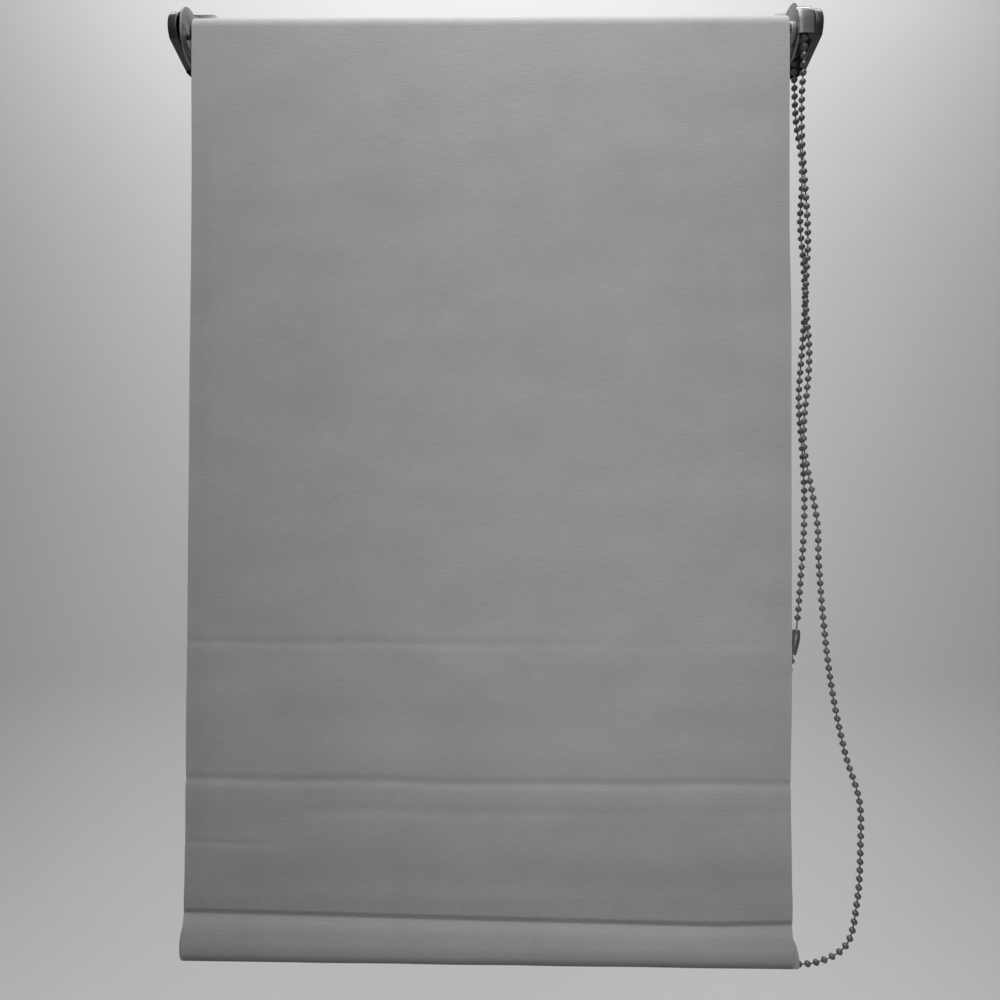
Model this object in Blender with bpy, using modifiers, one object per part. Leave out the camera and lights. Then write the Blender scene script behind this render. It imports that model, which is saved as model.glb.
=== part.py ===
"""Chain-operated roller blind, lowered, stuck to a window sash.

Metres, +Z up, X across the window, +Y into the sash.  The sash face is y = 0 and the
whole blind stands in front of it, at y < 0.  The origin is the middle of the left
bracket's fixing face, at the height of the roller's axis.  Sizes below are millimetres.
"""
import math

import bmesh
import bpy
from mathutils import Matrix, Vector

MM = 0.001
GAP = 0.3                      # clearance between neighbouring pieces

# Roller
AXIS_Y = -15.1                 # roller axis in front of the sash
TUBE_R = 7.5
TUBE_WALL = 0.6
TUBE_X = (-2.0, 414.8)
TAPE_R = (7.75, 8.05)
ROLL_R = (8.3, 10.0)           # wound cloth

# Cloth
CLOTH_X = (-0.3, 412.3)
PANEL_Y = (-25.9, -25.4)
PANEL_BOTTOM = -611.0

# Bottom bar
BAR_Z = -631.6
POCKET_HALF = (5.6, 10.9)      # half depth, half height of the sleeve's round part
SLEEVE_WALL = 0.5
BAR_HALF = (4.75, 10.05)
BAR_X = (0.5, 411.5)
CAP_LENGTHS = (0.9, 3.4)       # left and right cap, past the sleeve

# Brackets
PAD_T = 0.8
PLATE_T = 1.2
FLANGE_FREE_X = (9.2, 406.8)   # free ends of the left and right flange
FLANGE_Z = (-17.8, 25.8)
FLANGE_R = 5.0
CHEEK_FRONT = -24.3
CHEEK_Z = (-16.5, 24.5)
CHEEK_R = 17.0
LEFT_CHEEK_X = -8.4            # inner face
RIGHT_CHEEK_X = 419.0          # inner face
SCREW_HOLES_Z = (18.0, -10.0)
SCREW_HOLE_R = 2.0
PEG_YZ = ((-4.6, 9.5), (-4.6, -9.5))
PEG_R = 1.2

# End covers
COVER_R = 14.6
COVER_FRONT_ANGLE = 218        # the round front of a cover ends here and runs straight on
COVER_BOTTOM_Z = -16.4         # to this height at the sash
APRON_BOTTOM = ((0.5, -16.9), (3.5, -19.8), (6.4, -21.7), (8.5, -23.1), (10.9, -23.4),
                (13.2, -23.4), (13.4, -22.8))   # distance in from the outer face, height
APRON_TOP_Z = 6.0
COVER_WALL = 1.2
COVER_W = 5.8
LEFT_COVER_X = -15.7           # outer face
RIGHT_COVER_X = 434.3          # outer face

# Idle end
PLUG_R = 6.6
PIN_R = 2.0
PIN_X = (-10.8, 1.0)
PIN_COLLAR_R = 3.3
SPRING_X = (1.4, 18.4)

# Drive end
CORE_R = 2.4
HUB_R = (3.9, 4.9)
WHEEL_X = (421.4, 425.6)
WHEEL_R = 7.0
CHAIN_PITCH_R = 9.55
HOUSING_R = (15.1, 16.0)
HOUSING_X = (420.5, 427.1)
HOUSING_PLATE_X = 426.1
HOOD_FRONT_Z = -9.5            # the hood ends here, so the chain can leave downwards
HOOD_REAR_ANGLE = 25           # where the hood ends at the sash, in degrees above the axis
HOOD_LIP_X = 416.4             # the front of the hood reaches past the cheek's front edge
HOOD_LIP_Y = -25.0

# Bead chain
CHAIN_R = 2.25
CHAIN_X = 423.5
CONNECTOR_TOP = (423.9, -6.6, -418.3)
CONNECTOR_END = (421.2, -7.2, -436.1)

# Route of the chain's centre line: down the rear strand, bottom loop, up the front strand
REAR_STRAND = (
    (423.4, -5.7, -20.0), (423.4, -6.0, -36.0), (424.4, -6.0, -57.0), (428.4, -6.0, -85.0),
    (428.6, -6.0, -103.0), (427.2, -6.0, -129.0), (429.6, -6.0, -160.0),
    (430.5, -6.0, -185.0), (428.9, -6.0, -214.0), (426.0, -6.0, -257.0),
    (428.6, -6.0, -295.0), (429.8, -6.0, -337.0), (426.4, -6.2, -391.0),
)
HIDDEN_STRAND = (
    (412.5, -7.6, -468.0), (399.0, -8.0, -505.0), (385.0, -8.5, -545.0), (376.0, -9.0, -585.0),
    (377.0, -9.0, -617.0), (391.0, -9.0, -641.0), (410.0, -9.0, -651.5),
)
FRONT_STRAND = (
    (434.3, -9.0, -650.5), (456.6, -9.0, -638.5), (464.6, -9.0, -608.6), (467.2, -9.0, -568.0),
    (466.6, -9.0, -538.0), (457.0, -9.0, -505.5), (447.2, -10.0, -460.0),
    (441.0, -11.0, -413.0), (437.2, -12.0, -369.0), (436.0, -12.7, -343.0),
    (426.5, -14.0, -291.0), (426.2, -14.2, -274.0), (429.9, -14.6, -227.0),
    (427.1, -15.4, -187.0), (428.6, -16.2, -142.0), (424.0, -20.0, -78.0),
    (422.9, -22.8, -50.0), (423.6, -24.2, -24.0),
)

MATERIALS = {
    "steel": ((0.62, 0.63, 0.64), 0.9, 0.35),
    "tube_metal": ((0.75, 0.76, 0.77), 0.8, 0.25),
    "dark_plastic": ((0.045, 0.047, 0.05), 0.0, 0.35),
    "grey_plastic": ((0.42, 0.42, 0.43), 0.0, 0.22),
    "black_plastic": ((0.02, 0.02, 0.02), 0.0, 0.5),
    "white_plastic": ((0.8, 0.8, 0.78), 0.0, 0.4),
    "chain_plastic": ((0.3, 0.3, 0.3), 0.0, 0.35),
    "spring_steel": ((0.5, 0.5, 0.5), 1.0, 0.3),
    "aluminium": ((0.7, 0.7, 0.7), 0.9, 0.4),
    "cloth": ((0.3, 0.3, 0.3), 0.0, 0.9),
    "tape": ((0.85, 0.85, 0.8), 0.0, 0.7),
    "foam": ((0.9, 0.9, 0.9), 0.0, 0.9),
}


def clear_scene():
    for item in list(bpy.data.objects):
        bpy.data.objects.remove(item, do_unlink=True)


def new_collection(name):
    group = bpy.data.collections.new(name)
    bpy.context.scene.collection.children.link(group)
    return group


clear_scene()
PARTS = new_collection("roller_blind")
CUTTERS = new_collection("cutters")


def get_material(name):
    existing = bpy.data.materials.get(name)
    if existing:
        return existing
    colour, metallic, roughness = MATERIALS[name]
    made = bpy.data.materials.new(name)
    made.use_nodes = True
    shader = made.node_tree.nodes["Principled BSDF"]
    shader.inputs["Base Color"].default_value = (*colour, 1.0)
    shader.inputs["Metallic"].default_value = metallic
    shader.inputs["Roughness"].default_value = roughness
    made.diffuse_color = (*colour, 1.0)
    return made


def add_object(name, data, material):
    item = bpy.data.objects.new(name, data)
    if material is None:
        CUTTERS.objects.link(item)
        item.hide_render = True
        item.display_type = "WIRE"
    else:
        PARTS.objects.link(item)
        data.materials.append(get_material(material))
    return item


def curve_to_mesh(item, name, material):
    """Replace a curve object by its evaluated mesh, with the loose caps welded on."""
    graph = bpy.context.evaluated_depsgraph_get()
    mesh = bpy.data.meshes.new_from_object(item.evaluated_get(graph))
    mesh.name = name
    builder = bmesh.new()
    builder.from_mesh(mesh)
    bmesh.ops.remove_doubles(builder, verts=builder.verts, dist=1e-7)
    builder.to_mesh(mesh)
    builder.free()
    mesh.materials.clear()
    placed = item.matrix_world.copy()
    bpy.data.objects.remove(item, do_unlink=True)
    made = add_object(name, mesh, material)
    made.matrix_world = placed
    return made


PLANES = {
    "YZ": Matrix(((0, 0, 1), (1, 0, 0), (0, 1, 0))),    # extruded along X
    "XZ": Matrix(((1, 0, 0), (0, 0, -1), (0, 1, 0))),   # extruded along Y
}
NORMALS = {"YZ": Vector((1, 0, 0)), "XZ": Vector((0, 1, 0))}


def plate(name, outlines, plane, low, high, material):
    """Flat plate: closed outlines in millimetres, extruded from low to high."""
    data = bpy.data.curves.new(name, "CURVE")
    data.dimensions = "2D"
    data.fill_mode = "BOTH"
    data.extrude = (high - low) / 2 * MM
    for outline in outlines:
        spline = data.splines.new("POLY")
        spline.points.add(len(outline) - 1)
        for point, (across, up) in zip(spline.points, outline):
            point.co = (across * MM, up * MM, 0, 1)
        spline.use_cyclic_u = True
    item = bpy.data.objects.new(name, data)
    CUTTERS.objects.link(item)
    item.matrix_world = PLANES[plane].to_4x4()
    item.location = NORMALS[plane] * ((low + high) / 2 * MM)
    bpy.context.view_layer.update()
    return curve_to_mesh(item, name, material)


def turned(name, profile, material, steps=48, centre=(AXIS_Y, 0.0)):
    """Solid of revolution about an axis along X.

    profile is a closed loop of (x, radius) in millimetres that runs, on its outer side,
    from high x to low x.  Points at radius 0 lie on the axis.
    """
    mesh = bpy.data.meshes.new(name)
    points = [(radius * MM, 0.0, along * MM) for along, radius in profile]
    count = len(points)
    edges = [(i, i + 1) for i in range(count - 1)]
    if profile[0][1] > 0 or profile[-1][1] > 0:
        edges.append((count - 1, 0))
    mesh.from_pydata(points, edges, [])
    item = add_object(name, mesh, material)
    screw = item.modifiers.new("Screw", "SCREW")
    screw.axis = "Z"
    screw.angle = math.tau
    screw.steps = steps
    screw.render_steps = steps
    screw.use_merge_vertices = True
    screw.merge_threshold = 1e-6
    screw.use_smooth_shade = True
    item.rotation_euler = (0, math.pi / 2, 0)
    item.location = (0, centre[0] * MM, centre[1] * MM)
    return item


def rod(name, points, radius, material, resolution=2):
    """Round wire along a list of points in millimetres."""
    data = bpy.data.curves.new(name, "CURVE")
    data.dimensions = "3D"
    data.bevel_depth = radius * MM
    data.bevel_resolution = resolution
    data.use_fill_caps = True
    spline = data.splines.new("POLY")
    spline.points.add(len(points) - 1)
    for point, place in zip(spline.points, points):
        point.co = (*(value * MM for value in place), 1)
        point.radius = 1.0
    return add_object(name, data, material)


def boolean(target, tool, operation):
    step = target.modifiers.new(operation.title(), "BOOLEAN")
    step.operation = operation
    step.object = tool
    step.solver = "EXACT"


def bevel(item, width, segments=2, angle=35):
    step = item.modifiers.new("Bevel", "BEVEL")
    step.width = width * MM
    step.segments = segments
    step.limit_method = "ANGLE"
    step.angle_limit = math.radians(angle)


def circle(centre, radius, count=24):
    return [
        (centre[0] + radius * math.cos(math.tau * i / count),
         centre[1] + radius * math.sin(math.tau * i / count))
        for i in range(count)
    ]


def arc(centre, radius, start, end, count):
    """Points from start to end degrees, both included."""
    return [
        (centre[0] + radius * math.cos(math.radians(start + (end - start) * i / count)),
         centre[1] + radius * math.sin(math.radians(start + (end - start) * i / count)))
        for i in range(count + 1)
    ]


def cheek_outline(back):
    """Side of a bracket: straight at the sash, large rounded front corners."""
    bottom, top = CHEEK_Z
    centre_y = CHEEK_FRONT + CHEEK_R
    outline = [(back, bottom), (back, top)]
    outline += arc((centre_y, top - CHEEK_R), CHEEK_R, 90, 180, 14)
    outline += arc((centre_y, bottom + CHEEK_R), CHEEK_R, 180, 270, 14)
    return outline


def flange_outline(low, high, rounded):
    """Bracket flange or pad in the sash plane; rounded is the side with round corners."""
    bottom, top = FLANGE_Z
    r = FLANGE_R
    if rounded > 0:
        outline = [(low, bottom)]
        outline += arc((high - r, bottom + r), r, 270, 360, 6)
        outline += arc((high - r, top - r), r, 0, 90, 6)
        outline += [(low, top)]
    else:
        outline = [(high, top)]
        outline += arc((low + r, top - r), r, 90, 180, 6)
        outline += arc((low + r, bottom + r), r, 180, 270, 6)
        outline += [(high, bottom)]
    return outline


def make_bracket(side, inner_x, hole_r, peg_holes):
    """L bracket; side is -1 for the left end and +1 for the right end."""
    outer_x = inner_x + side * PLATE_T
    free_x = FLANGE_FREE_X[0] if side < 0 else FLANGE_FREE_X[1]
    low, high = sorted((outer_x, free_x))
    middle = (inner_x + free_x) / 2
    back = -(PAD_T + GAP)
    front = back - PLATE_T
    name = "left" if side < 0 else "right"
    holes = [circle((middle, z), SCREW_HOLE_R) for z in SCREW_HOLES_Z]
    flange = plate(f"{name}_bracket", [flange_outline(low, high, -side), *holes], "XZ",
                   front, back, "steel")
    cheek_holes = [circle((AXIS_Y, 0.0), hole_r, 32)]
    if peg_holes:
        cheek_holes += [circle(place, PEG_R + GAP) for place in PEG_YZ]
    x_low, x_high = sorted((inner_x, outer_x))
    cheek = plate(f"{name}_cheek_blank", [cheek_outline(back - 0.2), *cheek_holes], "YZ",
                  x_low, x_high, None)
    boolean(flange, cheek, "UNION")
    pad_low, pad_high = sorted((outer_x + side * -0.4, free_x + side * 0.4))
    plate(f"{name}_adhesive_pad", [flange_outline(pad_low, pad_high, -side)], "XZ",
          -PAD_T, 0.0, "foam")


def cover_outline(inset):
    """Side view of a cover, drawn in by inset: round, then sloping down to the sash."""
    back, radius = -GAP - inset, COVER_R - inset
    outline = [(back, radius)]
    outline += arc((AXIS_Y, 0.0), radius, 90, COVER_FRONT_ANGLE, 36)
    outline.append((back, COVER_BOTTOM_Z + inset))
    return outline


def make_cover(side, outer_x, peg_to, apron_width):
    """Dark end cover: shell with two pegs on its inside and an apron along the sash."""
    name = "left_cover" if side < 0 else "right_cover"
    inner_x = outer_x - side * COVER_W
    wall_x = outer_x - side * COVER_WALL
    low, high = sorted((outer_x, inner_x))
    shell = plate(name, [cover_outline(0.0)], "YZ", low, high, "dark_plastic")
    weights = shell.data.attributes.new("bevel_weight_edge", "FLOAT", "EDGE")
    place = shell.matrix_world
    for edge in shell.data.edges:
        ends = [(place @ shell.data.vertices[i].co).x / MM for i in edge.vertices]
        weights.data[edge.index].value = float(all(abs(x - outer_x) < 0.01 for x in ends))
    step = shell.modifiers.new("Bevel", "BEVEL")
    step.width = 0.8 * MM
    step.segments = 3
    step.limit_method = "WEIGHT"
    low, high = sorted((wall_x, inner_x - side * 2.0))
    hollow = plate(f"{name}_hollow", [cover_outline(COVER_WALL)], "YZ", low, high, None)
    boolean(shell, hollow, "DIFFERENCE")
    low, high = sorted((wall_x + side * 0.5, peg_to))
    for number, place in enumerate(PEG_YZ):
        peg = plate(f"{name}_peg_{number}", [circle(place, PEG_R, 16)], "YZ", low, high, None)
        boolean(shell, peg, "UNION")
    apron = plate(f"{name}_apron", [apron_outline(side, outer_x, apron_width)], "XZ",
                  -GAP - COVER_WALL + 0.1, -GAP - 0.02, None)
    boolean(shell, apron, "UNION")


def apron_outline(side, outer_x, width):
    """Flat apron at the back of a cover, seen from the front, cut off at width."""
    edge = [(d, z) for d, z in APRON_BOTTOM if d < width]
    if width < APRON_BOTTOM[-1][0]:
        one, two = edge[-1], APRON_BOTTOM[len(edge)]
        share = (width - one[0]) / (two[0] - one[0])
        edge.append((width, one[1] + share * (two[1] - one[1])))
    inner, join_z = COVER_W - 0.6, COVER_BOTTOM_Z + 0.8
    edge += [(width, APRON_TOP_Z), (inner, APRON_TOP_Z), (inner, join_z), (edge[0][0], join_z)]
    outline = [(outer_x - side * d, z) for d, z in edge]
    return outline if side < 0 else outline[::-1]


def make_roller():
    inner = TUBE_R - TUBE_WALL
    low, high = TUBE_X
    turned("roller_tube", [(high, TUBE_R), (low, TUBE_R), (low, inner), (high, inner)],
           "tube_metal")
    low, high = CLOTH_X
    turned("fabric_roll",
           [(high, ROLL_R[1]), (low, ROLL_R[1]), (low, ROLL_R[0]), (high, ROLL_R[0])],
           "cloth", steps=64)
    strip = arc((AXIS_Y, 0.0), TAPE_R[1], 60, 110, 8)
    strip += arc((AXIS_Y, 0.0), TAPE_R[0], 110, 60, 8)
    plate("cloth_tape", [strip], "YZ", low + 1, high - 1, "tape")


def make_cloth_and_bar():
    low, high = CLOTH_X
    back, front = PANEL_Y[1], PANEL_Y[0]
    panel = [(back, 0.0), (front, 0.0), (front, PANEL_BOTTOM), (back, PANEL_BOTTOM)]
    plate("fabric_panel", [panel], "YZ", low, high, "cloth")
    middle = (front + back) / 2
    plate("hem_pocket",
          [teardrop(middle, PANEL_BOTTOM - GAP, POCKET_HALF, 0.3),
           ellipse((middle, BAR_Z), POCKET_HALF[0] - SLEEVE_WALL, POCKET_HALF[1] - SLEEVE_WALL)],
          "YZ", low, high, "cloth")
    plate("bottom_bar", [ellipse((middle, BAR_Z), *BAR_HALF)], "YZ", *BAR_X, "aluminium")
    for name, start, side, length in (
            ("bar_cap_left", low - GAP, -1, CAP_LENGTHS[0]),
            ("bar_cap_right", high + GAP, 1, CAP_LENGTHS[1])):
        x_low, x_high = sorted((start, start + side * length))
        cap = plate(name, [ellipse((middle, BAR_Z), *POCKET_HALF)], "YZ", x_low, x_high,
                    "grey_plastic")
        bevel(cap, min(0.8, 0.3 * length))


def ellipse(centre, half_across, half_up, count=36):
    return [
        (centre[0] + half_across * math.cos(math.tau * i / count),
         centre[1] + half_up * math.sin(math.tau * i / count))
        for i in range(count)
    ]


def teardrop(middle, top, half, neck):
    """Sleeve around the bar: a narrow neck at the stitching, round below."""
    outline = [(middle + neck, top)]
    outline += [
        (middle + half[0] * math.cos(math.radians(angle)),
         BAR_Z + half[1] * math.sin(math.radians(angle)))
        for angle in range(30, -220, -10)
    ]
    outline.append((middle - neck, top))
    return outline


def make_idle_end():
    flange = (-3.5, TUBE_X[0] - GAP)
    lip = PIN_R + 0.4
    chamber = PIN_COLLAR_R + 0.3
    turned("idle_plug", [
        (22.0, 0.0), (22.0, PLUG_R), (flange[1], PLUG_R), (flange[1], TUBE_R),
        (flange[0], TUBE_R), (flange[0], lip), (-1.6, lip), (-1.6, chamber),
        (19.0, chamber), (19.0, 0.0),
    ], "black_plastic")
    turned("idle_pin", [
        (PIN_X[1], 0.0), (PIN_X[1], PIN_COLLAR_R), (PIN_X[1] - 2.0, PIN_COLLAR_R),
        (PIN_X[1] - 2.0, PIN_R), (PIN_X[0] + 0.8, PIN_R), (PIN_X[0], PIN_R - 0.8),
        (PIN_X[0], 0.0),
    ], "white_plastic", steps=32)
    coil("idle_spring", *SPRING_X, 2.7, 0.25, 5)


def coil(name, low, high, mean_r, wire_r, turns, per_turn=14):
    """Open coil spring around the roller axis."""
    count = int(turns * per_turn)
    low += wire_r
    high -= wire_r
    points = []
    for i in range(count + 1):
        angle = math.tau * i / per_turn
        points.append((low + (high - low) * i / count,
                       AXIS_Y + mean_r * math.cos(angle), mean_r * math.sin(angle)))
    rod(name, points, wire_r, "spring_steel", resolution=1)


def make_drive_end():
    turned("drive_plug", [
        (418.5, 5.3), (418.5, TUBE_R), (TUBE_X[1] + GAP, TUBE_R), (TUBE_X[1] + GAP, PLUG_R),
        (396.0, PLUG_R), (396.0, 2.8), (398.0, 2.8), (398.0, 5.3),
    ], "grey_plastic")
    low, high = WHEEL_X
    wheel = turned("chain_wheel", [
        (high, HUB_R[0]), (high, WHEEL_R), (low, WHEEL_R), (low, HUB_R[1]),
        (398.4, HUB_R[1]), (398.4, HUB_R[0]),
    ], "white_plastic", steps=60)
    notches = None
    for number in range(10):
        angle = math.tau * (number + 0.5) / 10
        place = (AXIS_Y + 8.0 * math.cos(angle), 8.0 * math.sin(angle))
        notch = plate(f"wheel_notch_{number}", [circle(place, 1.7, 12)], "YZ", low - 1, high + 1,
                      None)
        if notches is None:
            notches = notch
        else:
            boolean(notches, notch, "UNION")
    boolean(wheel, notches, "DIFFERENCE")
    turned("drive_core", [
        (425.8, 1.5), (425.8, CORE_R), (391.0, CORE_R), (391.0, 0.0), (410.0, 0.0),
        (410.0, 1.5),
    ], "black_plastic", steps=32)
    turned("retaining_ring", [(395.7, 2.7), (395.7, 3.9), (394.9, 3.9), (394.9, 2.7)],
           "spring_steel", steps=32)
    coil("wrap_spring_inner", 399.2, 410.0, 3.15, 0.28, 9)
    coil("wrap_spring_outer", 410.6, 421.4, 3.15, 0.28, 9)
    turned("core_screw", [
        (429.2, 0.0), (429.2, 1.9), (428.6, 2.8), (427.4, 2.8), (427.4, 1.1), (412.0, 1.1),
        (412.0, 0.0),
    ], "steel", steps=24)


def hood_side(radius):
    """Round over the axis from close to the sash, then straight down at the front."""
    outline = arc((AXIS_Y, 0.0), radius, HOOD_REAR_ANGLE, 180, 36)
    outline.append((AXIS_Y - radius, HOOD_FRONT_Z))
    return outline


def make_housing():
    """Grey hood over the chain wheel, with the plate that carries the drive core."""
    low, high = HOUSING_X
    hood = hood_side(HOUSING_R[1]) + hood_side(HOUSING_R[0])[::-1]
    shell = plate("drive_housing", [hood], "YZ", HOOD_LIP_X, high, "grey_plastic")
    room = [(HOOD_LIP_Y, -40.0), (10.0, -40.0), (10.0, 40.0), (HOOD_LIP_Y, 40.0)]
    cheek_room = plate("drive_housing_cheek_room", [room], "YZ", HOOD_LIP_X - 1, low, None)
    boolean(shell, cheek_room, "DIFFERENCE")
    holes = [circle((AXIS_Y, 0.0), 1.5, 16)]
    wall = plate("drive_housing_wall", [hood_side(HOUSING_R[1] - 0.3), *holes], "YZ",
                 HOUSING_PLATE_X, high - 0.001, None)
    boolean(shell, wall, "UNION")


def smooth_route(points, count):
    """Evenly spaced points on a centripetal spline through the given points."""
    places = [Vector(p) for p in points]
    places = [2 * places[0] - places[1], *places, 2 * places[-1] - places[-2]]
    dense = []
    for a, b, c, d in zip(places, places[1:], places[2:], places[3:]):
        t1 = math.sqrt((b - a).length)
        t2 = t1 + math.sqrt((c - b).length)
        t3 = t2 + math.sqrt((d - c).length)
        for i in range(24):
            t = t1 + (t2 - t1) * i / 24
            ab = a * ((t1 - t) / t1) + b * (t / t1)
            bc = b * ((t2 - t) / (t2 - t1)) + c * ((t - t1) / (t2 - t1))
            cd = c * ((t3 - t) / (t3 - t2)) + d * ((t - t2) / (t3 - t2))
            abc = ab * ((t2 - t) / t2) + bc * (t / t2)
            bcd = bc * ((t3 - t) / (t3 - t1)) + cd * ((t - t1) / (t3 - t1))
            dense.append(abc * ((t2 - t) / (t2 - t1)) + bcd * ((t - t1) / (t2 - t1)))
    dense.append(places[-2])
    lengths = [0.0]
    for one, two in zip(dense, dense[1:]):
        lengths.append(lengths[-1] + (two - one).length)
    total = lengths[-1]
    route = []
    at = 0
    for i in range(count):
        want = total * i / (count - 1)
        while at < len(lengths) - 2 and lengths[at + 1] < want:
            at += 1
        share = (want - lengths[at]) / max(lengths[at + 1] - lengths[at], 1e-9)
        route.append(tuple(dense[at].lerp(dense[at + 1], share)))
    return route, total


def chain_route():
    """Whole loop, from the connector's top over the wheel to the connector's end."""
    top = Vector(CONNECTOR_TOP)
    end = Vector(CONNECTOR_END)
    lean = (top - end).normalized()
    over_wheel = []
    for angle in range(0, 181, 15):
        turn = math.radians(angle)
        over_wheel.append((CHAIN_X, AXIS_Y + CHAIN_PITCH_R * math.cos(turn),
                           CHAIN_PITCH_R * math.sin(turn)))
    rear = [tuple(top + lean * GAP), *reversed(REAR_STRAND), over_wheel[0]]
    front = [over_wheel[-1], *reversed(FRONT_STRAND), *reversed(HIDDEN_STRAND),
             tuple(end - lean * GAP)]
    rear, rear_length = smooth_route(rear, 22)
    front, front_length = smooth_route(front, 50)
    wheel_length = math.pi * CHAIN_PITCH_R
    return rear[:-1] + over_wheel + front[1:], rear_length + wheel_length + front_length


def make_chain():
    route, total = chain_route()
    print(f"bead chain length {total:.0f} mm")
    rod("bead_chain", route, CHAIN_R, "chain_plastic", resolution=2)
    top = Vector(CONNECTOR_TOP)
    end = Vector(CONNECTOR_END)
    length = (top - end).length
    profile = [(0.0, 0.0), (0.0, 2.4), (-1.0, 3.0), (-6.0, 3.1), (-length + 1.0, 2.4),
               (-length, 1.8), (-length, 0.0)]
    item = turned("chain_connector", profile, "chain_plastic", steps=28)
    item.rotation_euler = (top - end).to_track_quat("Z", "Y").to_euler()
    item.location = top * MM


make_bracket(-1, LEFT_CHEEK_X, PIN_R + GAP, True)
make_bracket(1, RIGHT_CHEEK_X, HUB_R[1] + 0.4, False)
make_cover(-1, LEFT_COVER_X, LEFT_CHEEK_X, 5.6)
make_cover(1, RIGHT_COVER_X, HOUSING_X[1] + GAP, 13.4)
make_roller()
make_cloth_and_bar()
make_idle_end()
make_drive_end()
make_housing()
make_chain()
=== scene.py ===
"""Look of the chain-operated roller blind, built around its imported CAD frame.

Sizes are millimetres in the frame's axes unless a name says otherwise: X across the
window, +Y into the sash, +Z up.  They are turned into metres when a mesh is made.
"""
import math
from contextlib import contextmanager

import bmesh
import bpy
import numpy as np
from mathutils import Matrix, Vector


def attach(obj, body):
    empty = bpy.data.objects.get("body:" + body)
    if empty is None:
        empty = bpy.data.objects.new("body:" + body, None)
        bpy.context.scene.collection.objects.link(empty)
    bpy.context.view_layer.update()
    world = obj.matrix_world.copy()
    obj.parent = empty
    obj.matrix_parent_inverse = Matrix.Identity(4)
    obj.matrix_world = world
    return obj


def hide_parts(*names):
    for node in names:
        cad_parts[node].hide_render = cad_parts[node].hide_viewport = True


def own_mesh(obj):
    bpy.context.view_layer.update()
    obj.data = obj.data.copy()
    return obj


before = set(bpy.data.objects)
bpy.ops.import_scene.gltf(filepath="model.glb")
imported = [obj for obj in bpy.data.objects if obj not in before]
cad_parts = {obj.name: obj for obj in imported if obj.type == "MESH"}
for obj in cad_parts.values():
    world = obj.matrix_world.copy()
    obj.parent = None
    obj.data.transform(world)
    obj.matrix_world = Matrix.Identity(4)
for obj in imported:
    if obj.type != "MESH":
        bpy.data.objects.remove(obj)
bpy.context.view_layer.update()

MM = 0.001

# Sizes shared with the CAD
AXIS_Y = -15.1
TUBE_R, TUBE_WALL, TUBE_X = 7.5, 0.6, (-2.0, 414.8)
ROLL_R = 10.55                     # middle of the outermost turn of cloth
CLOTH_X = (-0.3, 412.3)
CLOTH_T = 0.28
PANEL_Y = AXIS_Y - ROLL_R
PANEL_BOTTOM = -611.0
STRIP_TOP = PANEL_BOTTOM + 9.0     # top of the strip of cloth that moves with the hem
LIFT_TRAVEL = 585.0
STUB_BOTTOM = STRIP_TOP + LIFT_TRAVEL   # the hanging cloth shrinks to this line when raised
BAR_Z = -631.6
POCKET_HALF = (5.6, 10.9)
CREASES_Z = (-426.0, -520.4, -540.2, -562.0)
SEAM_DEPTH = 1.0                   # how far the stitching pulls the cloth back
# the painted shade of the lowest fold lies this far below the seam
FOLD_BELOW_SEAM = 34.5             # along the cloth, from the seam to the lowest line
BAR_HALF = (4.75, 10.05)
BAR_X = (0.5, 411.5)
CAP_LENGTHS = (0.9, 3.4)           # left and right
PAD_T, PLATE_T, PART_GAP = 0.8, 1.2, 0.3
FLANGE_FREE_X, FLANGE_Z, FLANGE_R = (9.2, 406.8), (-17.8, 25.8), 5.0
CHEEK_FRONT, CHEEK_Z, CHEEK_R = -24.3, (-16.5, 24.5), 17.0
LEFT_CHEEK_X, RIGHT_CHEEK_X = -8.4, 419.0
SCREW_HOLES_Z, SCREW_HOLE_R = (18.0, -10.0), 2.0
PEG_YZ, PEG_R = ((-4.6, 9.5), (-4.6, -9.5)), 1.2
COVER_R, COVER_WALL, COVER_W = 14.6, 1.2, 5.8
COVER_FRONT_ANGLE, COVER_BOTTOM_Z = 218, -16.4
APRON_BOTTOM = ((0.5, -16.9), (3.5, -19.8), (6.4, -21.7), (8.5, -23.1), (10.9, -23.4),
                (13.2, -23.4), (13.4, -22.8))   # distance in from the outer face, height
APRON_TOP_Z = 6.0
LEFT_COVER_X, RIGHT_COVER_X = -15.7, 434.3
HOUSING_R, HOUSING_X, HOUSING_PLATE_X = (15.1, 16.0), (420.5, 427.1), 426.1
HOOD_REAR_ANGLE, HOOD_FRONT_Z = 25, -9.5
HOOD_LIP_X, HOOD_LIP_ANGLE = 416.4, 132.6
WHEEL_X, WHEEL_R, HUB_R = (421.4, 425.6), 7.0, (3.9, 4.9)
CHAIN_PITCH_R, CHAIN_X = 9.55, 423.5

STITCH_PITCH = 3.2

# Bead chain
BEAD_R, BEAD_HALF, BEAD_PITCH, THREAD_R = 2.25, 2.05, 6.0, 0.5
CONNECTOR_TOP = (423.9, -6.6, -418.3)
CONNECTOR_END = (421.2, -7.2, -436.1)
REAR_STRAND = (
    (423.4, -5.7, -20.0), (423.4, -6.0, -36.0), (424.4, -6.0, -57.0), (428.4, -6.0, -85.0),
    (428.6, -6.0, -103.0), (427.2, -6.0, -129.0), (429.6, -6.0, -160.0),
    (430.5, -6.0, -185.0), (428.9, -6.0, -214.0), (426.0, -6.0, -257.0),
    (428.6, -6.0, -295.0), (429.8, -6.0, -337.0), (426.4, -6.2, -391.0),
)
HIDDEN_STRAND = (
    (412.5, -7.6, -468.0), (399.0, -8.0, -505.0), (385.0, -8.5, -545.0), (376.0, -9.0, -585.0),
    (377.0, -9.0, -617.0), (391.0, -9.0, -638.5), (410.0, -9.0, -649.0),
)
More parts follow.
